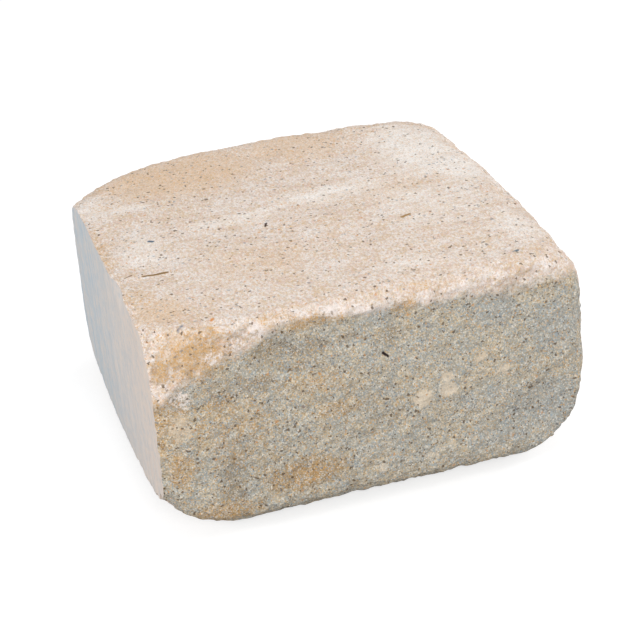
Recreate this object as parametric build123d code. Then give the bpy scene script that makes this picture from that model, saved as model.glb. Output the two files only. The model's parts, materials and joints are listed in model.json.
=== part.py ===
from build123d import *
from math import cos, pi, sin, sqrt
import os

# A concrete wall block, pressed in a mould as one piece of dry mix. Its front is split off the next block,
# tumbling has worn its edges and corners round, and its left side is cut flat, which leaves crisp edges.
# Millimetres. X runs along the front to the right, Y from the front to the back, Z up.
# The origin is the middle of the underside.

# Overall size
width = 298.0
depth = 304.0
height = 150.0

# How much the flat cut takes off the worn left side, where that stands out most
left_cut = 22.5

# How far the right side leans in towards its foot, over the whole height
right_lean = 5.5

# Wear of the edge where each side meets the underside, as the radius of a quarter round
front_low_round = 28.0
right_low_round = 62.0
back_low_round = 11.0
left_low_round = 50.0

# Wear of the edge where each side meets the top
front_high_round = 14.0
right_high_round = 36.0
back_high_round = 28.0
left_high_round = 11.0

# Wear of the four upright corners, as the radius at the underside and at the top
front_left_low_corner = 34.0
front_left_high_corner = 5.0
front_right_low_corner = 11.0
front_right_high_corner = 37.0
back_right_low_corner = 22.0
back_right_high_corner = 29.0
back_left_low_corner = 64.0
back_left_high_corner = 114.0

# How far the middle of each side stands out beyond its ends
front_bow = 1.0
right_bow = 6.0
back_bow = 16.0
left_bow = 25.5

# How far the worn front stood out before the split, and how far the split front lies behind its own
# highest rises, away from its marks
split_waste = 2.0
split_depth = 1.5

# Hollows and rises that the split left, from left to right. Each has its place along the front, its height,
# its reach along the front and in height, and its depth, with a minus where it stands out.
front_marks = {
    "worn upper corner": (-160.0, 158.0, 60.0, 44.0, 19.0),
    "rubbed rise beside the cut": (-138.0, 112.0, 14.0, 24.0, -1.6),
    "hollow at the left foot": (-108.0, 6.0, 24.0, 16.0, 2.0),
    "brown hollow": (-103.0, 98.0, 20.0, 18.0, 3.0),
    "upright valley": (-98.0, 40.0, 16.0, 32.0, 2.0),
    "deep hollow under the edge": (-65.0, 119.0, 26.0, 22.0, 4.0),
    "low hollow": (-55.0, 44.0, 28.0, 18.0, 1.5),
    "rise along the foot": (-50.0, 14.0, 36.0, 16.0, -1.6),
    "broad rise": (-36.0, 92.0, 32.0, 16.0, -1.2),
    "second hollow under the edge": (-32.0, 129.0, 28.0, 20.0, 4.0),
    "middle hollow under the edge": (10.0, 119.0, 20.0, 24.0, 3.5),
    "rubbed middle rise": (32.0, 71.0, 26.0, 15.0, -1.6),
    "hollow below the rubbed rise": (42.0, 40.0, 26.0, 15.0, 2.0),
    "hollow at the right foot": (58.0, 14.0, 30.0, 18.0, 2.0),
    "rubbed right rise": (78.0, 82.0, 22.0, 13.0, -1.6),
    "right hollow under the edge": (96.0, 131.0, 26.0, 17.0, 2.5),
    "flake off the lower right": (116.0, 36.0, 44.0, 34.0, 3.0),
}

# The split's surface runs a little past the block all round, through points in even columns and rows
split_margin = 15.0
split_columns = 27
split_rows = 15

# Outlines drawn around the low rounds, up the upright part of the sides, and around the high rounds
low_steps = 10
side_steps = 4
high_steps = 8


def edge_inset(z, low_round, high_round):
    """How far a side lies inside its widest line at height z, on the quarter rounds of its two edges."""
    below = max(0.0, low_round - z)
    above = max(0.0, z - height + high_round)
    low_inset = low_round - sqrt(low_round**2 - below**2)
    high_inset = high_round - sqrt(high_round**2 - above**2)
    return low_inset + high_inset


def corner_radius(z, low_radius, high_radius):
    """Radius of an upright corner at height z, changing evenly from the underside to the top."""
    return low_radius + (high_radius - low_radius) * z / height


def outline(z):
    """The worn block's outline at height z: four sides with a rounded corner between each two."""
    front = -depth / 2 - split_waste + edge_inset(z, front_low_round, front_high_round)
    right_lean_inset = right_lean * (height - right_high_round - z) / height
    right = width / 2 - right_lean_inset - edge_inset(z, right_low_round, right_high_round)
    back = depth / 2 - edge_inset(z, back_low_round, back_high_round)
    left = -width / 2 - left_cut + edge_inset(z, left_low_round, left_high_round)
    middle_x = (left + right) / 2
    middle_y = (front + back) / 2

    front_left = (left + left_bow, front, z)
    front_right = (right - right_bow, front, z)
    back_right = (right - right_bow, back - back_bow, z)
    back_left = (left + left_bow, back - back_bow, z)
    front_side = Line(front_left, front_right)
    right_side = ThreePointArc(front_right, (right, middle_y, z), back_right)
    back_side = ThreePointArc(back_right, (middle_x, back, z), back_left)
    left_side = ThreePointArc(back_left, (left, middle_y, z), front_left)
    face = make_face([front_side, right_side, back_side, left_side])

    corner_radii = {
        front_left: corner_radius(z, front_left_low_corner, front_left_high_corner),
        front_right: corner_radius(z, front_right_low_corner, front_right_high_corner),
        back_right: corner_radius(z, back_right_low_corner, back_right_high_corner),
        back_left: corner_radius(z, back_left_low_corner, back_left_high_corner),
    }
    for corner, radius in corner_radii.items():
        face = fillet(face.vertices().sort_by_distance(corner)[0], radius)
    return face


def front_inset(x, z):
    """How far the split front lies behind its highest rises, at a place along it and a height."""
    inset = split_depth + front_bow * (2 * x / width) ** 2
    for mark_x, mark_z, reach_x, reach_z, mark_depth in front_marks.values():
        distance = min(1.0, sqrt(((x - mark_x) / reach_x) ** 2 + ((z - mark_z) / reach_z) ** 2))
        inset += mark_depth * (1 + cos(pi * distance)) / 2
    return max(0.0, inset)


def even_places(start, end, count):
    """Places in even steps from start to end."""
    return [start + (end - start) * k / (count - 1) for k in range(count)]


def waste_section(x):
    """Cross-section, at a place along the front, of what the split takes off in front of its surface."""
    low = -split_margin
    high = height + split_margin
    ahead = -depth / 2 - split_margin
    torn_side = Spline([(x, front_inset(x, z) - depth / 2, z) for z in even_places(low, high, split_rows)])
    outer_sides = Polyline(torn_side @ 1, (x, ahead, high), (x, ahead, low), torn_side @ 0)
    return make_face(torn_side.edges() + outer_sides.edges())


# The heights of the outlines step evenly around the largest low round and the largest high round
low_reach = max(front_low_round, right_low_round, back_low_round, left_low_round)
high_reach = max(front_high_round, right_high_round, back_high_round, left_high_round)
side_height = height - low_reach - high_reach
low_levels = [low_reach * (1 - cos(k * pi / 2 / low_steps)) for k in range(low_steps)]
side_levels = [low_reach + side_height * k / side_steps for k in range(side_steps)]
high_levels = [height - high_reach * (1 - sin(k * pi / 2 / high_steps)) for k in range(high_steps + 1)]
worn_block = loft([outline(z) for z in low_levels + side_levels + high_levels])

# The split takes off what stands in front of its surface
split_stations = even_places(-width / 2 - split_margin, width / 2 + split_margin, split_columns)
split_block = worn_block - loft([waste_section(x) for x in split_stations])

# The cut runs straight down the left side and keeps what lies to its right
left_cut_plane = Plane.YZ.offset(-width / 2)
wall_block = split(split_block, bisect_by=left_cut_plane, keep=Keep.TOP)

os.makedirs("parts", exist_ok=True)
export_step(wall_block, "parts/wall_block.step")
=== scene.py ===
import json
import math
import bpy
import numpy as np
from mathutils import Matrix, Vector

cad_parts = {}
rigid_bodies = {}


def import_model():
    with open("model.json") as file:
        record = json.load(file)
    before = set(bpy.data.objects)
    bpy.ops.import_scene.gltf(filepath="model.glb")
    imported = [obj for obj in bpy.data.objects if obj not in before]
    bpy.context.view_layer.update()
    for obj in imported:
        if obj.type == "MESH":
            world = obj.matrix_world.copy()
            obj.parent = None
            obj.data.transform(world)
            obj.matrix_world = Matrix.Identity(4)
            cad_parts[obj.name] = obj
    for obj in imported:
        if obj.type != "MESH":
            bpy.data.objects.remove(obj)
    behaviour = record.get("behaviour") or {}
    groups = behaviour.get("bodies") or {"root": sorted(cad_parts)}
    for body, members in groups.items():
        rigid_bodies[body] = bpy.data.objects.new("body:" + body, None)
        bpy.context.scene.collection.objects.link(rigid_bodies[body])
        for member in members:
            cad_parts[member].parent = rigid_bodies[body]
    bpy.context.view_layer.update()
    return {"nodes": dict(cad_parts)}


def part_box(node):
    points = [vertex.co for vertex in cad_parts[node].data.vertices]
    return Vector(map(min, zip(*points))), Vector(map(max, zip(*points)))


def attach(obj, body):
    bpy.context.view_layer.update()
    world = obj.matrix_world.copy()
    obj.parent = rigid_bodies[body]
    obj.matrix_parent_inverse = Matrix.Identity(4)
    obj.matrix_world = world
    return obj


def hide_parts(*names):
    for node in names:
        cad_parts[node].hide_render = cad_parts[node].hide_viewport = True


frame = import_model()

MM = 0.001


# The pressed block.
# Dry concrete mix is pressed in a mould, so the block is one solid body with the size and the worn form
# that the frame gives. Its skin gets an even mesh here, finer on the two sides with the most relief.

block_node = frame["nodes"]["wall_block"]
block_low, block_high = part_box("wall_block")
saw_allowance = 8 * MM
skin_mesh_size = 3.3 * MM


def read_points(piece):
    """The piece's points as rows of x, y and z."""
    points = np.empty(len(piece.data.vertices) * 3)
    piece.data.vertices.foreach_get("co", points)
    return points.reshape(-1, 3)


def read_normals(piece):
    """The piece's point normals as rows of x, y and z."""
    normals = np.empty(len(piece.data.vertices) * 3)
    piece.data.vertices.foreach_get("normal", normals)
    return normals.reshape(-1, 3)


def smooth_step(value, start, end):
    """0 before start, 1 after end, and a soft ramp between them."""
    share = np.clip((value - start) / (end - start), 0, 1)
    return share * share * (3 - 2 * share)


bpy.ops.object.select_all(action="DESELECT")
block_node.select_set(True)
bpy.context.view_layer.objects.active = block_node
bpy.ops.object.duplicate()
block = bpy.context.active_object
block.name = "worn_block"
block.data.name = "worn_block"
bpy.ops.object.parent_clear(type="CLEAR_KEEP_TRANSFORM")
block.data.materials.clear()
bpy.ops.object.mode_set(mode="EDIT")
bpy.ops.mesh.select_all(action="SELECT")
bpy.ops.mesh.remove_doubles(threshold=0.01 * MM)
bpy.ops.mesh.select_all(action="DESELECT")
bpy.ops.object.mode_set(mode="OBJECT")
for face in block.data.polygons:
    face.select = face.normal.x < -0.99 and face.center.x < block_low.x + 0.1 * MM
bpy.ops.object.mode_set(mode="EDIT")
bpy.ops.mesh.select_mode(type="FACE")
bpy.ops.mesh.extrude_region_move(TRANSFORM_OT_translate={"value": (-saw_allowance, 0, 0)})
bpy.ops.mesh.select_all(action="DESELECT")
bpy.ops.object.mode_set(mode="OBJECT")
even_skin = block.modifiers.new("even skin", "REMESH")
even_skin.mode = "VOXEL"
even_skin.voxel_size = skin_mesh_size
bpy.ops.object.modifier_apply(modifier=even_skin.name)
for face in block.data.polygons:
    face.select = face.normal.z > 0.3 and face.center.z > 140 * MM and face.center.y > -135 * MM
bpy.ops.object.mode_set(mode="EDIT")
bpy.ops.mesh.subdivide(number_cuts=1)
bpy.ops.mesh.select_all(action="DESELECT")
bpy.ops.object.mode_set(mode="OBJECT")
for face in block.data.polygons:
    face.select = face.center.y < -135 * MM and face.normal.z > -0.5
bpy.ops.object.mode_set(mode="EDIT")
bpy.ops.mesh.subdivide(number_cuts=2)
bpy.ops.mesh.select_all(action="DESELECT")
bpy.ops.object.mode_set(mode="OBJECT")


# The split front and the tumbled skin.
# The front is torn off the next block, which leaves coarse sandy relief with a slanting grain. The other
# sides are pressed. Tumbling rubs the front's top edge soft and pits the skin where sand falls out.

for face in block.data.polygons:
    face.select = face.center.z > 128 * MM and face.center.y < -136 * MM
bpy.ops.object.mode_set(mode="EDIT")
bpy.ops.mesh.vertices_smooth(factor=0.5, repeat=24)
bpy.ops.object.mode_set(mode="OBJECT")

skin_points = read_points(block)
skin_normals = read_normals(block)
to_left, to_front, up = (skin_points * (-1, -1, 1) / MM).T
front_share = smooth_step(-skin_normals[:, 1], 0.35, 0.85)
edge_share = 1 - smooth_step(np.abs(skin_normals).max(axis=1), 0.86, 0.985)
front_edge = smooth_step(up, 128, 142) * smooth_step(to_front, 132, 142)
front_foot = smooth_step(-up, -26, -10) * smooth_step(to_front, 126, 140)
beside_cut = smooth_step(to_left, 141, 148) * (1 - smooth_step(-skin_normals[:, 0], 0.7, 0.9))


def add_group(name, weights):
    """Keeps a weight for each point, which says how much of a relief it takes."""
    group = block.vertex_groups.new(name=name)
    for step in range(1, 21):
        members = np.nonzero(np.round(weights * 20) == step)[0]
        group.add(members.tolist(), step / 20, "REPLACE")


add_group("split front", front_share)
add_group("pressed skin", 1 - front_share)
add_group("edges", np.maximum.reduce([0.85 * edge_share, front_edge, front_foot]))
add_group("beside the cut", beside_cut)

# The split runs across the front at a slant, up towards the right
split_slant = (0, math.radians(-32), 0)
split_grain = bpy.data.objects.new("split grain", None)
bpy.context.collection.objects.link(split_grain)
split_grain.rotation_euler = split_slant
split_grain.scale = (1.8, 1, 1)
bpy.context.view_layer.update()


def press_relief(name, kind, size, depth, group, middle=0.62, along=None, contrast=2.2, **settings):
    """Sinks a relief into the block, up to depth from top to bottom, with marks about as wide as size."""
    pattern = bpy.data.textures.new(name, kind)
    pattern.noise_scale = size
    pattern.contrast = contrast
    for key, value in settings.items():
        setattr(pattern, key, value)
    relief = block.modifiers.new(name, "DISPLACE")
    relief.texture = pattern
    relief.texture_coords = "OBJECT" if along else "LOCAL"
    relief.texture_coords_object = along
    relief.strength = depth
    relief.mid_level = middle
    relief.vertex_group = group
    bpy.ops.object.modifier_apply(modifier=relief.name)


press_relief("slanting ribs", "CLOUDS", 9 * MM, 1.1 * MM, "split front", along=split_grain, noise_depth=1)
press_relief("torn lumps", "CLOUDS", 5 * MM, 1.1 * MM, "split front", noise_depth=2)
press_relief("grains", "VORONOI", 2.4 * MM, 0.9 * MM, "split front", contrast=1.4)
press_relief("soft unevenness", "CLOUDS", 30 * MM, 1.2 * MM, "pressed skin", noise_depth=1)
press_relief("sand pits", "CLOUDS", 4 * MM, 0.6 * MM, "pressed skin", noise_depth=2)
press_relief("bruised edges", "CLOUDS", 7 * MM, 1.9 * MM, "edges", noise_depth=2)
press_relief("chipped cut edge", "CLOUDS", 6 * MM, 2.6 * MM, "beside the cut", middle=0.7, noise_depth=2)

# Rubbing takes the highest grains down, so none stands more than this above the pressed form
highest_grain = 0.8 * MM
relief_points = read_points(block)
rise = ((relief_points - skin_points) * skin_normals).sum(axis=1)
rubbed = np.where(rise > 0, highest_grain * (1 - np.exp(-rise / highest_grain)), rise)
relief_points += (rubbed - rise)[:, None] * skin_normals
block.data.vertices.foreach_set("co", relief_points.ravel())
block.data.update()


# Dents and lost corners.
# Where blocks hit each other in the drum, whole corners come off and the skin is dented. Each dent is
# pressed in one by one: its place on the block, its reach, how far it goes in and which way.

def dent(place, reach, push):
    """Pushes the skin near a place, in millimetres, with a soft edge all round."""
    points = read_points(block)
    distance = np.linalg.norm((points - np.array(place) * MM) / (np.array(reach) * MM), axis=1)
    share = 1 - smooth_step(distance, 0, 1)
    points += share[:, None] * np.array(push) * MM
    block.data.vertices.foreach_set("co", points.ravel())
    block.data.update()


dent(place=(-24, -152, 10), reach=(9, 16, 14), push=(0, 2.5, 2.5))
dent(place=(131, -48, 146), reach=(12, 44, 16), push=(-2.5, 0, -2.5))
dent(place=(118, -152, 140), reach=(30, 14, 10), push=(0, 1.5, -1))

# A flake of skin has come off the top at the left, and a larger one off the front at the lower right
points = read_points(block)
behind_crack = -56 - points[:, 1] / MM
from_flake = np.abs(points[:, 0] / MM + 126)
flake_share = smooth_step(behind_crack, 0, 2) * (1 - smooth_step(behind_crack, 6, 34))
flake_share *= 1 - smooth_step(from_flake, 11, 20)
flake_depth = 1.1 * MM
points[:, 2] -= flake_depth * flake_share * smooth_step(points[:, 2], 140 * MM, 146 * MM)
step_start = np.array((84, 47))
step_way = np.array((0.82, 0.57))
from_step = points[:, ::2] / MM - step_start
along_step = from_step @ step_way
below_step = from_step @ np.array((step_way[1], -step_way[0]))
step_share = smooth_step(below_step, 0, 3) * (1 - smooth_step(below_step, 12, 40))
step_share *= smooth_step(along_step, -14, 4)
step_depth = 1.6 * MM
points[:, 1] += step_depth * step_share * smooth_step(-points[:, 1], 136 * MM, 144 * MM)

# Nothing stands past the size that the frame gives
points[:, 0] = np.minimum(points[:, 0], block_high.x)
points[:, 1] = np.clip(points[:, 1], block_low.y, block_high.y)
points[:, 2] = np.clip(points[:, 2], block_low.z, block_high.z)
block.data.vertices.foreach_set("co", points.ravel())
block.data.update()


# The cut left side.
# A flat cut takes the worn skin off the left side. It goes straight down, leaves a smooth dense face
# and crisp edges, and dips a little where the stone gave way near the top.

saw_thickness = 40 * MM
saw_margin = 20 * MM
dip_depth = 2.4 * MM
bpy.ops.object.select_all(action="DESELECT")
bpy.ops.mesh.primitive_grid_add(
    x_subdivisions=60,
    y_subdivisions=60,
    size=1,
    location=(block_low.x, 0, (block_low.z + block_high.z) / 2),
    rotation=(0, math.radians(90), 0),
)
saw = bpy.context.active_object
saw.name = "saw"
saw.scale = (
    block_high.z - block_low.z + 2 * saw_margin,
    block_high.y - block_low.y + 2 * saw_margin,
    1,
)
bpy.ops.object.transform_apply(location=True, rotation=True, scale=True)
saw_points = read_points(saw)
from_dip = np.linalg.norm((saw_points[:, 1:] / MM - (-66, 150)) / (24, 16), axis=1)
saw_points[:, 0] += dip_depth * (1 - smooth_step(from_dip, 0, 1))
saw.data.vertices.foreach_set("co", saw_points.ravel())
bpy.ops.object.mode_set(mode="EDIT")
bpy.ops.mesh.select_all(action="SELECT")
bpy.ops.mesh.extrude_region_move(TRANSFORM_OT_translate={"value": (-saw_thickness, 0, 0)})
bpy.ops.mesh.select_all(action="SELECT")
bpy.ops.mesh.normals_make_consistent(inside=False)
bpy.ops.object.mode_set(mode="OBJECT")

worn_concrete = bpy.data.materials.new("worn concrete")
cut_concrete = bpy.data.materials.new("cut concrete")
block.data.materials.append(worn_concrete)
saw.data.materials.append(cut_concrete)
bpy.context.view_layer.objects.active = block
cut = block.modifiers.new("flat cut", "BOOLEAN")
cut.operation = "DIFFERENCE"
cut.solver = "MANIFOLD"
cut.material_mode = "TRANSFER"
cut.object = saw
bpy.ops.object.modifier_apply(modifier=cut.name)
bpy.data.objects.remove(saw)
bpy.data.objects.remove(split_grain)
bpy.ops.object.select_all(action="DESELECT")
block.select_set(True)
bpy.ops.object.shade_smooth_by_angle(angle=math.radians(60))
block.vertex_groups.clear()

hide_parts("wall_block")
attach(block, "root")


# Concrete.
# Sand and cement make a pale beige skin on the worn sides. The split front shows the darker, greyer
# inside, stained ochre at the left. Sand grains of every shade show all over.

skin_points = read_points(block)


def keep_share(name, shares):
    """Keeps a number from 0 to 1 for each point, which the material reads."""
    layer = block.data.attributes.new(name, "FLOAT", "POINT")
    layer.data.foreach_set("value", shares.astype(np.float32))


def dabs(places):
    """How much each point takes of a stain or of painted shade: place, reach and strength of every dab, in
    millimetres.
    """
    share = np.zeros(len(skin_points))
    for place, reach, strength in places:
        distance = np.linalg.norm((skin_points / MM - np.array(place)) / np.array(reach), axis=1)
        share = np.maximum(share, strength * (1 - smooth_step(distance, 0.2, 1)))
    return share


drop = (block_high.z - skin_points[:, 2]) / MM
split_start_x = (-149, -138, -120, -104, -90, -78, -66, -50, -17, 10, 30, 60, 86, 116, 149)
split_start_drop = (46, 41, 28, 24, 19, 14, 9, 8, 12, 9, 13, 14, 19, 17, 20)
split_start = np.interp(skin_points[:, 0] / MM, split_start_x, split_start_drop)
on_front = smooth_step(-skin_points[:, 1] / MM, 128, 142)
split_softness = np.interp(skin_points[:, 0] / MM, (-149, -130, -104, -84, 149), (18, 24, 22, 13, 15))
keep_share("split", smooth_step((drop - split_start) / split_softness, -1, 1) * on_front)
keep_share("ochre", dabs([
    ((-104, -151, 84), (50, 16, 50), 0.5),
    ((-141, -84, 150), (20, 24, 14), 0.6),
    ((-147, -10, 150), (8, 60, 12), 0.6),
    ((-120, -146, 134), (38, 22, 28), 1.0),
    ((-142, -149, 130), (10, 12, 16), 1.0),
    ((-68, -148, 147), (20, 8, 7), 0.8),
    ((-147, -148, 88), (6, 14, 34), 1.0),
    ((-137, -151, 92), (16, 12, 26), 0.9),
    ((-138, -150, 56), (15, 12, 24), 1.0),
    ((-46, -152, 140), (32, 14, 8), 0.95),
    ((-56, -152, 34), (40, 20, 18), 0.9),
    ((-118, -149, 16), (40, 24, 18), 0.9),
    ((-30, -152, 76), (28, 14, 11), 0.6),
    ((-45, -152, 98), (44, 16, 13), 0.5),
    ((17, -151, 138), (15, 12, 10), 0.8),
    ((66, -152, 92), (12, 10, 8), 0.5),
    ((30, -146, 148), (12, 8, 8), 0.6),
    ((92, -141, 149), (14, 8, 6), 0.4),
]))
keep_share("tan", dabs([
    ((-70, 95, 150), (100, 60, 40), 0.9),
    ((20, 110, 150), (70, 50, 30), 0.7),
    ((60, 0, 150), (60, 30, 10), 0.35),
    ((-50, -70, 150), (60, 40, 10), 0.4),
    ((-130, -112, 148), (30, 30, 20), 0.9),
]))
keep_share("cream", dabs([
    ((98, 60, 150), (56, 80, 24), 1.1),
    ((118, 15, 148), (34, 50, 20), 1.1),
    ((22, 14, 150), (66, 22, 10), 1.0),
    ((-50, 2, 150), (60, 18, 10), 0.8),
    ((75, -35, 150), (60, 60, 10), 0.65),
    ((120, -90, 150), (34, 40, 16), 0.7),
    ((-122, -20, 150), (26, 44, 10), 0.85),
    ((-120, 60, 150), (30, 30, 10), 0.5),
    ((-138, 64, 150), (24, 46, 20), 0.7),
    ((40, -118, 150), (60, 14, 10), 0.55),
]))
keep_share("chalk", dabs([
    ((-92, -121, 150), (16, 5, 6), 0.6),
    ((-108, -150, 130), (12, 10, 9), 0.7),
    ((-94, -151, 136), (12, 10, 8), 0.8),
    ((-80, -149, 142), (14, 10, 7), 0.85),
    ((-64, -148, 145), (16, 8, 6), 0.6),
    ((-28, -148, 144), (16, 8, 8), 0.8),
    ((-10, -149, 142), (18, 8, 6), 0.75),
    ((12, -149, 142), (18, 8, 6), 0.55),
    ((34, -149, 142), (18, 8, 6), 0.55),
    ((60, -148, 143), (22, 9, 7), 0.6),
    ((86, -147, 142), (22, 9, 8), 0.5),
    ((110, -144, 143), (20, 11, 8), 0.55),
    ((126, -134, 146), (14, 12, 9), 0.5),
    ((-145, -127, 149), (5, 10, 8), 0.6),
    ((-133, -151, 106), (12, 8, 12), 0.85),
    ((-145, 64, 149), (8, 20, 12), 0.4),
]))
keep_share("scuffs", dabs([
    ((-137, -151, 87), (10, 8, 8), 0.9),
    ((42, -152, 81), (8, 8, 8), 1.0),
    ((42, -152, 72), (11, 8, 9), 1.15),
    ((25, -152, 69), (12, 8, 11), 1.1),
    ((66, -152, 90), (12, 8, 7), 0.7),
    ((81, -152, 77), (10, 8, 9), 0.75),
    ((122, -150, 86), (14, 8, 9), 0.6),
    ((44, -152, 30), (12, 8, 8), 0.6),
    ((27, -152, 26), (16, 8, 8), 0.65),
    ((-5, -152, 24), (10, 8, 7), 0.7),
    ((60, -152, 72), (50, 8, 34), 0.4),
    ((60, -152, 30), (60, 8, 18), 0.4),
    ((-134, -151, 86), (15, 8, 22), 0.75),
]))
keep_share("slate", dabs([
    ((-110, -151, 72), (20, 14, 30), 0.5),
    ((-108, -151, 45), (16, 14, 20), 0.4),
    ((0, -152, 134), (16, 14, 10), 0.7),
    ((0, -152, 45), (40, 14, 14), 0.5),
    ((112, -150, 38), (54, 20, 38), 1.0),
    ((120, -150, 100), (34, 20, 30), 0.8),
    ((76, -152, 120), (30, 14, 22), 0.8),
    ((70, -152, 60), (40, 14, 16), 0.6),
    ((76, -151, 25), (40, 14, 14), 0.7),
    ((6, -152, 26), (30, 14, 10), 0.6),
    ((20, -152, 100), (60, 14, 14), 0.4),
]))
# Painted shade and a darker tone: most shade dabs paint the shade in the hollows under the front's top
# edge, lower on the front and under the step; the rest darken the worn corner and the lower front
keep_share("shade", dabs([
    ((-124, -149, 134), (32, 18, 22), 0.65),
    ((-100, -149, 14), (44, 20, 16), 0.6),
    ((-12, -152, 70), (70, 14, 46), 0.5),
    ((-110, -149, 142), (24, 14, 14), 0.5),
    ((-90, -148, 143), (20, 14, 10), 0.6),
    ((-142, -148, 131), (12, 14, 16), 0.9),
    ((-88, -151, 62), (46, 16, 60), 0.5),
    ((-107, -151, 99), (16, 12, 12), 1.0),
    ((-70, -151, 127), (32, 14, 13), 1.0),
    ((-45, -151, 122), (26, 14, 12), 0.9),
    ((-82, -151, 105), (34, 14, 11), 0.9),
    ((-52, -151, 111), (30, 14, 9), 0.9),
    ((-22, -152, 124), (20, 14, 10), 0.7),
    ((-98, -151, 64), (14, 14, 36), 0.6),
    ((-104, -151, 38), (18, 14, 40), 1.0),
    ((-56, -152, 33), (50, 14, 22), 1.15),
    ((6, -150, 120), (12, 14, 14), 0.8),
    ((104, -151, 61), (18, 14, 7), 0.7),
    ((94, -150, 134), (12, 14, 7), 0.4),
]))


def add_node(tree, kind, inputs=None, **settings):
    """Adds a node with its settings, and sets or links its inputs by name or number."""
    node = tree.nodes.new(kind)
    for key, value in settings.items():
        setattr(node, key, value)
    for key, value in (inputs or {}).items():
        if isinstance(value, bpy.types.NodeSocket):
            tree.links.new(value, node.inputs[key])
        else:
            node.inputs[key].default_value = value
    return node


def mix_colour(share, first, second):
    """Lays the second colour over the first by a share."""
    node = add_node(tree, "ShaderNodeMix", {0: share}, data_type="RGBA")
    for socket, value in ((node.inputs[6], first), (node.inputs[7], second)):
        if isinstance(value, bpy.types.NodeSocket):
            tree.links.new(value, socket)
        else:
            socket.default_value = value
    return node.outputs[2]


def ramp(value, low, high, low_out=0.0, high_out=1.0):
    """A value brought from one range to another and held at its ends."""
    node = add_node(
        tree, "ShaderNodeMapRange",
        {"Value": value, "From Min": low, "From Max": high, "To Min": low_out, "To Max": high_out},
    )
    return node.outputs[0]


def maths(operation, first, second):
    """Two values joined by a sum, a product or the like."""
    return add_node(tree, "ShaderNodeMath", {0: first, 1: second}, operation=operation).outputs[0]


def times(first, second):
    """The product of two values."""
    return maths("MULTIPLY", first, second)


def plus(first, second):
    """The sum of two values."""
    return maths("ADD", first, second)


def srgb(red, green, blue):
    """A colour given as it is seen on a screen, from 0 to 255."""
    linear = [((c / 255 + 0.055) / 1.055) ** 2.4 if c > 10 else c / 255 / 12.92 for c in (red, green, blue)]
    return (*linear, 1.0)


worn_concrete.use_nodes = True
tree = worn_concrete.node_tree
shader = tree.nodes["Principled BSDF"]
place = add_node(tree, "ShaderNodeTexCoord").outputs["Object"]


def noise(size, detail=2.0, roughness=0.5, along=None, turn=(0, 0, 0)):
    """Cloudy noise with lumps about as wide as size, turned, and stretched where along is under 1."""
    vector = place
    if along:
        turned = add_node(tree, "ShaderNodeMapping", {"Vector": place, "Rotation": turn}).outputs[0]
        vector = add_node(tree, "ShaderNodeMapping", {"Vector": turned, "Scale": along}).outputs[0]
    return add_node(
        tree, "ShaderNodeTexNoise",
        {"Vector": vector, "Scale": 1 / size, "Detail": detail, "Roughness": roughness},
    ).outputs["Fac"]


def share_of(name):
    """A stain's or painted shade's share at each point of the skin."""
    return add_node(tree, "ShaderNodeAttribute", attribute_name=name).outputs["Fac"]


def stain(name, breaks, low, high, strength=1.0):
    """A stain's or painted shade's share, broken up by a noise so that its edge is ragged."""
    ragged = plus(share_of(name), ramp(breaks, 0.2, 0.8, -0.5, 0.5))
    return times(ramp(ragged, low, high), strength)


def grains(size):
    """Sand grains about as wide as size, each with three numbers of its own from 0 to 1."""
    cells = add_node(tree, "ShaderNodeTexVoronoi", {"Vector": place, "Scale": 1 / size})
    return add_node(tree, "ShaderNodeSeparateColor", {0: cells.outputs["Color"]}).outputs


def vector_maths(operation, inputs):
    """A sum on places, given as a node's outputs by name."""
    return add_node(tree, "ShaderNodeVectorMath", inputs, operation=operation).outputs


def streak(start, end, width):
    """The share of a short mark that runs from start to end and is this wide, all in millimetres."""
    run = Vector(end) - Vector(start)
    offset = vector_maths("SUBTRACT", {0: place, 1: Vector(start) * MM})[0]
    along = vector_maths("DOT_PRODUCT", {0: offset, 1: run / (run.length_squared * MM)})["Value"]
    nearest = vector_maths("SCALE", {0: run * MM, "Scale": ramp(along, 0, 1)})[0]
    apart = vector_maths("DISTANCE", {0: offset, 1: nearest})["Value"]
    return ramp(apart, 0.6 * width * MM, 0.3 * width * MM)


blotches = noise(24 * MM, 4, 0.6)
patches = noise(11 * MM, 4, 0.6)
mottle = noise(5 * MM, 4, 0.65)
speckle = noise(1.5 * MM, 3, 0.7)
skin_speckle = noise(1.6 * MM, 3, 0.75, along=(1, 0.6, 1))
ragged_edge = noise(6 * MM, 5, 0.75)
top_streaks = noise(8 * MM, 5, 0.65, along=(0.3, 1, 1))
front_streaks = noise(6 * MM, 4, 0.6, along=(0.35, 1, 1), turn=split_slant)
split_breaks = plus(times(ragged_edge, 0.5), times(patches, 0.5))
split_share = stain("split", split_breaks, 0.32, 0.68)
ochre_share = stain("ochre", mottle, 0.15, 1.05)
slate_share = stain("slate", mottle, 0.2, 1.1)

# The skin is a mix of tan and cream grains
warm_grains = ramp(noise(2.4 * MM, 3, 0.75, along=(1, 0.6, 1)), 0.42, 0.58)
tan_grains = mix_colour(warm_grains, srgb(219, 190, 174), srgb(216, 189, 154))
skin_drift = plus(ramp(top_streaks, 0.3, 0.7, -0.07, 0.07), ramp(blotches, 0.3, 0.7, -0.05, 0.05))
cream_grains = ramp(plus(skin_speckle, skin_drift), 0.38, 0.62)
skin_colour = mix_colour(cream_grains, tan_grains, srgb(240, 232, 227))
skin_colour = mix_colour(stain("tan", top_streaks, 0.2, 1.0, 0.55), skin_colour, srgb(222, 190, 156))
skin_colour = mix_colour(stain("cream", top_streaks, 0.2, 1.1, 0.7), skin_colour, srgb(252, 247, 242))
skin_colour = mix_colour(ramp(mottle, 0.5, 0.72, 0, 0.35), skin_colour, srgb(208, 184, 160))
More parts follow.
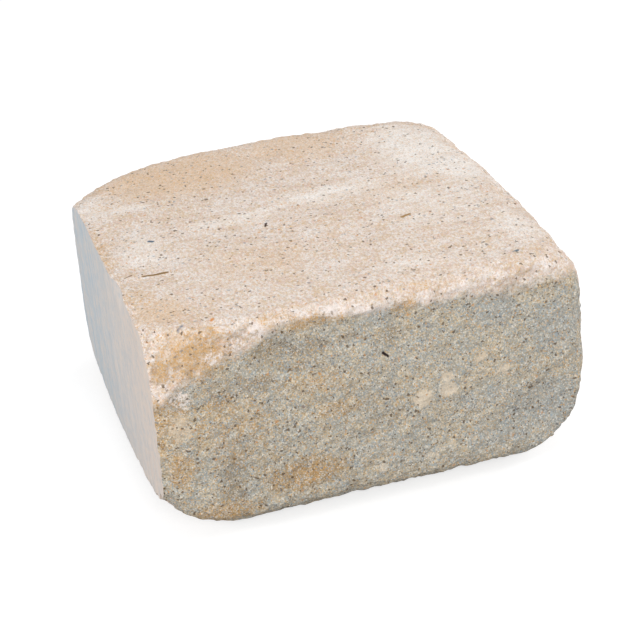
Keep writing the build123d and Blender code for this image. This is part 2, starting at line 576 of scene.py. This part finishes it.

# The split front is a mix of straw and blue grey grains, with brown spots between them that are painted
# shade, as in pits between the grains
front_drift = plus(ramp(front_streaks, 0.3, 0.7, -0.06, 0.06), ramp(patches, 0.3, 0.7, -0.08, 0.08))
stain_drift = maths("SUBTRACT", times(ochre_share, 0.08), times(slate_share, 0.14))
straw_grains = ramp(plus(plus(speckle, front_drift), stain_drift), 0.4, 0.6)
front_colour = mix_colour(straw_grains, srgb(178, 184, 181), srgb(221, 204, 174))
front_colour = mix_colour(ramp(mottle, 0.48, 0.72, 0, 0.4), front_colour, srgb(172, 156, 130))
# Painted shade of pits between the grains, laid on as brown spots from a noise
pit_shade_painted = ramp(noise(2.8 * MM, 4, 0.8), 0.54, 0.7, 0, 0.5)
front_colour = mix_colour(pit_shade_painted, front_colour, srgb(146, 122, 92))

# Ochre and bluish stains have soaked into both, and the shade dabs paint shade into the front's hollows and
# darken its worn corner and lower part
colour = mix_colour(split_share, skin_colour, front_colour)
colour = mix_colour(stain("shade", mottle, 0.3, 1.0, 0.55), colour, srgb(136, 119, 94))
colour = mix_colour(times(ochre_share, 0.46), colour, srgb(204, 164, 106))
colour = mix_colour(times(slate_share, 0.3), colour, srgb(186, 191, 191))

# Single sand grains stand out, most of all on the split front: orange ones where the stains are, and
# dark, brown, pale, golden and blue grey ones all over
sand = grains(0.85 * MM)
grain_depth = ramp(split_share, 0, 1, 0.45, 1.1)
ochre_grains = ramp(maths("SUBTRACT", times(ochre_share, 0.5), sand[2]), -0.06, 0.06, 0, 0.6)
colour = mix_colour(ochre_grains, colour, srgb(208, 156, 84))
tan_share = times(plus(share_of("tan"), 0.15), maths("SUBTRACT", 1.0, split_share))
orange_grains = ramp(maths("SUBTRACT", times(tan_share, 0.4), sand[2]), -0.06, 0.06, 0, 0.55)
colour = mix_colour(orange_grains, colour, srgb(222, 180, 132))
for share, depth, tone in (
    (ramp(sand[0], 0.0, 1.0, 1, 0), 0.44, (118, 100, 78)),
    (ramp(sand[0], 0.93, 0.97), 0.75, (96, 72, 48)),
    (ramp(sand[1], 0.6, 1.0), 0.52, (241, 236, 227)),
    (ramp(sand[2], 0.9, 0.96), 0.55, (212, 164, 100)),
    (ramp(sand[1], 0.12, 0.05), 0.6, (150, 166, 178)),
):
    colour = mix_colour(times(share, times(grain_depth, depth)), colour, srgb(*tone))

# Rubbed spots and chalk lie over the grains
scuff_clumps = plus(times(mottle, 0.6), times(speckle, 0.4))
colour = mix_colour(stain("scuffs", scuff_clumps, 0.42, 0.75, 0.65), colour, srgb(228, 211, 188))
chalk_clumps = plus(ramp(ragged_edge, 0.35, 0.65, 0, 0.5), ramp(speckle, 0.35, 0.65, 0, 0.5))
colour = mix_colour(stain("chalk", chalk_clumps, 0.55, 1.0, 0.8), colour, srgb(240, 229, 223))

# Coarse dark, orange and blue grey grains, and then the crack, the hole and the larger marks one by one.
# The crack's brown lines are painted shade under the lip of the lifted flake, and the near-black hole is
# painted shade, as the mesh has no hole
coarse_sand = grains(1.5 * MM)
colour = mix_colour(ramp(coarse_sand[0], 0.975, 0.988, 0, 0.8), colour, srgb(96, 78, 58))
colour = mix_colour(ramp(coarse_sand[1], 0.992, 0.996, 0, 0.6), colour, srgb(206, 146, 84))
colour = mix_colour(ramp(coarse_sand[2], 0.992, 0.996, 0, 0.55), colour, srgb(112, 120, 130))
for start, end, width, tone in (
    # The crack: brown lines painted as the shade under the lifted flake's lip
    ((-130, -56, 149), (-113, -57, 149), 1.5, (132, 104, 64)),
    ((-141, -54, 149), (-136, -51, 149), 1.4, (128, 100, 70)),
    ((-111, -59, 149), (-106, -57, 149), 1.2, (150, 124, 90)),
    # The hole: a near-black mark painted as the shade inside it, as the mesh has no hole here
    ((0.4, -149, 108), (3.6, -149, 104.6), 2.2, (44, 33, 34)),
    ((-36, -19, 150), (-34, -14, 150), 2.0, (72, 52, 44)),
    ((80, 41, 150), (82, 47, 150), 1.4, (70, 56, 50)),
    ((-114, -6.5, 150), (-112, -8, 150), 2.8, (96, 110, 124)),
    ((52, -48, 150), (58, -46, 150), 3.0, (164, 130, 84)),
    ((-134, -145, 147), (-133, -143, 148), 3.4, (112, 120, 140)),
    ((-126, -140, 148), (-123, -137, 149), 3.2, (118, 124, 138)),
    ((-104, -137, 149), (-103, -136, 149), 3.0, (206, 136, 70)),
    ((-91, -143, 147), (-90, -142, 148), 2.4, (96, 70, 50)),
    ((-107, -147, 128), (-104, -148, 127), 2.2, (88, 72, 66)),
    ((98, -132, 149), (102, -130, 149), 2.4, (104, 118, 128)),
):
    colour = mix_colour(streak(start, end, width), colour, srgb(*tone))
tree.links.new(colour, shader.inputs["Base Color"])
shader.inputs["Roughness"].default_value = 0.93
shader.inputs["Specular IOR Level"].default_value = 0.3

# Relief finer than the mesh: grit all over, and slanting grain on the split
grit = plus(noise(1.1 * MM, 2, 0.6), times(noise(2.6 * MM, 3, 0.6), 0.8))
torn_grain = noise(5 * MM, 3, 0.6, along=(0.5, 1, 1), turn=split_slant)
grit = plus(grit, times(torn_grain, times(split_share, 1.6)))
grit_height = times(grit, ramp(split_share, 0, 1, 0.5 * MM, 0.9 * MM))
bump = add_node(tree, "ShaderNodeBump", {"Height": grit_height, "Distance": 1.0})
tree.links.new(bump.outputs[0], shader.inputs["Normal"])

# The cut face is dense and smooth, bluish grey at the back and warmer at the front, with soft upright drags
cut_concrete.use_nodes = True
tree = cut_concrete.node_tree
shader = tree.nodes["Principled BSDF"]
place = add_node(tree, "ShaderNodeTexCoord").outputs["Object"]
axes = add_node(tree, "ShaderNodeSeparateXYZ", {0: place}).outputs
warm = ramp(axes[1], 60 * MM, -130 * MM)
drags = noise(6 * MM, 3, 0.5, along=(1, 1, 0.06))
fine_drags = noise(1.6 * MM, 3, 0.6, along=(1, 1, 0.12))
colour = mix_colour(warm, srgb(190, 202, 210), srgb(226, 209, 196))
colour = mix_colour(ramp(drags, 0.4, 0.62, 0.0, 0.45), colour, srgb(232, 222, 214))
colour = mix_colour(ramp(fine_drags, 0.35, 0.7, 0.0, 0.3), colour, srgb(196, 190, 184))
colour = mix_colour(ramp(noise(9 * MM, 5, 0.8), 0.46, 0.6, 0.0, 0.4), colour, srgb(236, 216, 198))
colour = mix_colour(ramp(noise(7 * MM, 5, 0.8), 0.48, 0.64, 0.0, 0.4), colour, srgb(178, 190, 199))
for start, end, width, share in (
    ((-149, -16, 90), (-149, -20, 49), 2.4, 0.45),
    ((-149, -120, 102), (-149, -128, 97), 1.6, 0.6),
):
    colour = mix_colour(times(streak(start, end, width), share), colour, srgb(240, 226, 216))
tree.links.new(colour, shader.inputs["Base Color"])
shader.inputs["Roughness"].default_value = 0.75
shader.inputs["Specular IOR Level"].default_value = 0.3
bump = add_node(tree, "ShaderNodeBump", {"Height": times(drags, 0.15 * MM), "Distance": 1.0})
tree.links.new(bump.outputs[0], shader.inputs["Normal"])


# Floor.
# The block lies on a plain matt floor of white paper, unrolled flat and wider than the picture. It shows
# white to the camera and keeps the block's soft shadow.

bpy.ops.object.select_all(action="DESELECT")
bpy.ops.mesh.primitive_plane_add(size=12, location=(0, 0, block_low.z - 0.2 * MM))
floor = bpy.context.active_object
floor.name = "floor"
paper = bpy.data.materials.new("white paper")
paper.use_nodes = True
tree = paper.node_tree
shader = tree.nodes["Principled BSDF"]
shader.inputs["Base Color"].default_value = (0.44, 0.44, 0.44, 1)
shader.inputs["Roughness"].default_value = 1.0
shader.inputs["Specular IOR Level"].default_value = 0.0
shader.inputs["Emission Color"].default_value = (1, 1, 1, 1)
camera_ray = add_node(tree, "ShaderNodeLightPath").outputs["Is Camera Ray"]
tree.links.new(times(camera_ray, 0.66), shader.inputs["Emission Strength"])
floor.data.materials.append(paper)


# Light.
# Plain soft studio light: a pale room all round, and four wide square lamps on stands. A weak one hangs
# above, the strongest stands in front, and one stands on either side.

world = bpy.data.worlds.new("studio")
bpy.context.scene.world = world
world.use_nodes = True
tree = world.node_tree
background = tree.nodes["Background"]
seen = add_node(tree, "ShaderNodeLightPath").outputs["Is Camera Ray"]
tree.links.new(mix_colour(seen, (0.46, 0.47, 0.48, 1), (1, 1, 1, 1)), background.inputs["Color"])
background.inputs["Strength"].default_value = 1.0


def lamp(name, place, aim, size, power, colour):
    """A wide square lamp at a place, turned to an aim, in metres and watts."""
    light = bpy.data.lights.new(name, "AREA")
    light.size = size
    light.energy = power
    light.color = colour
    holder = bpy.data.objects.new(name, light)
    bpy.context.collection.objects.link(holder)
    holder.location = place
    holder.rotation_euler = (Vector(aim) - Vector(place)).to_track_quat("-Z", "Y").to_euler()


lamp("key_lamp", (0.35, -0.35, 2.1), (0, 0, 0.1), 0.8, 5, (1, 0.985, 0.96))
lamp("front_lamp", (-0.2, -2.3, 1.2), (0, 0, 0.08), 1.4, 35.5, (1, 0.995, 0.99))
lamp("right_lamp", (1.9, 0.6, 1.0), (0, 0, 0.08), 1.2, 21, (1, 0.99, 0.99))
lamp("left_lamp", (-2.1, -0.3, 0.9), (0, 0, 0.08), 1.2, 21, (0.97, 0.98, 1))


# Camera.
# A camera with a long lens stands well back, a little to the left of the front and above the block, and
# is rolled a few degrees, as in the product picture.

camera_turn = math.radians(-14.875)
camera_height = math.radians(27.451)
camera_tilt = math.radians(-5.25)
camera_distance = 1.35706
camera_lens = 107.944
camera_aim = Vector((-0.00044, -0.0061, 0.06342))
camera = bpy.data.objects.new("camera", bpy.data.cameras.new("camera"))
bpy.context.collection.objects.link(camera)
turn = (
    Matrix.Rotation(camera_turn, 4, "Z")
    @ Matrix.Rotation(math.pi / 2 - camera_height, 4, "X")
    @ Matrix.Rotation(camera_tilt, 4, "Z")
)
camera.matrix_world = Matrix.Translation(camera_aim) @ turn @ Matrix.Translation((0, 0, camera_distance))
camera.data.sensor_width = 36
camera.data.lens = camera_lens
bpy.context.scene.camera = camera
bpy.context.scene.view_settings.view_transform = "Standard"
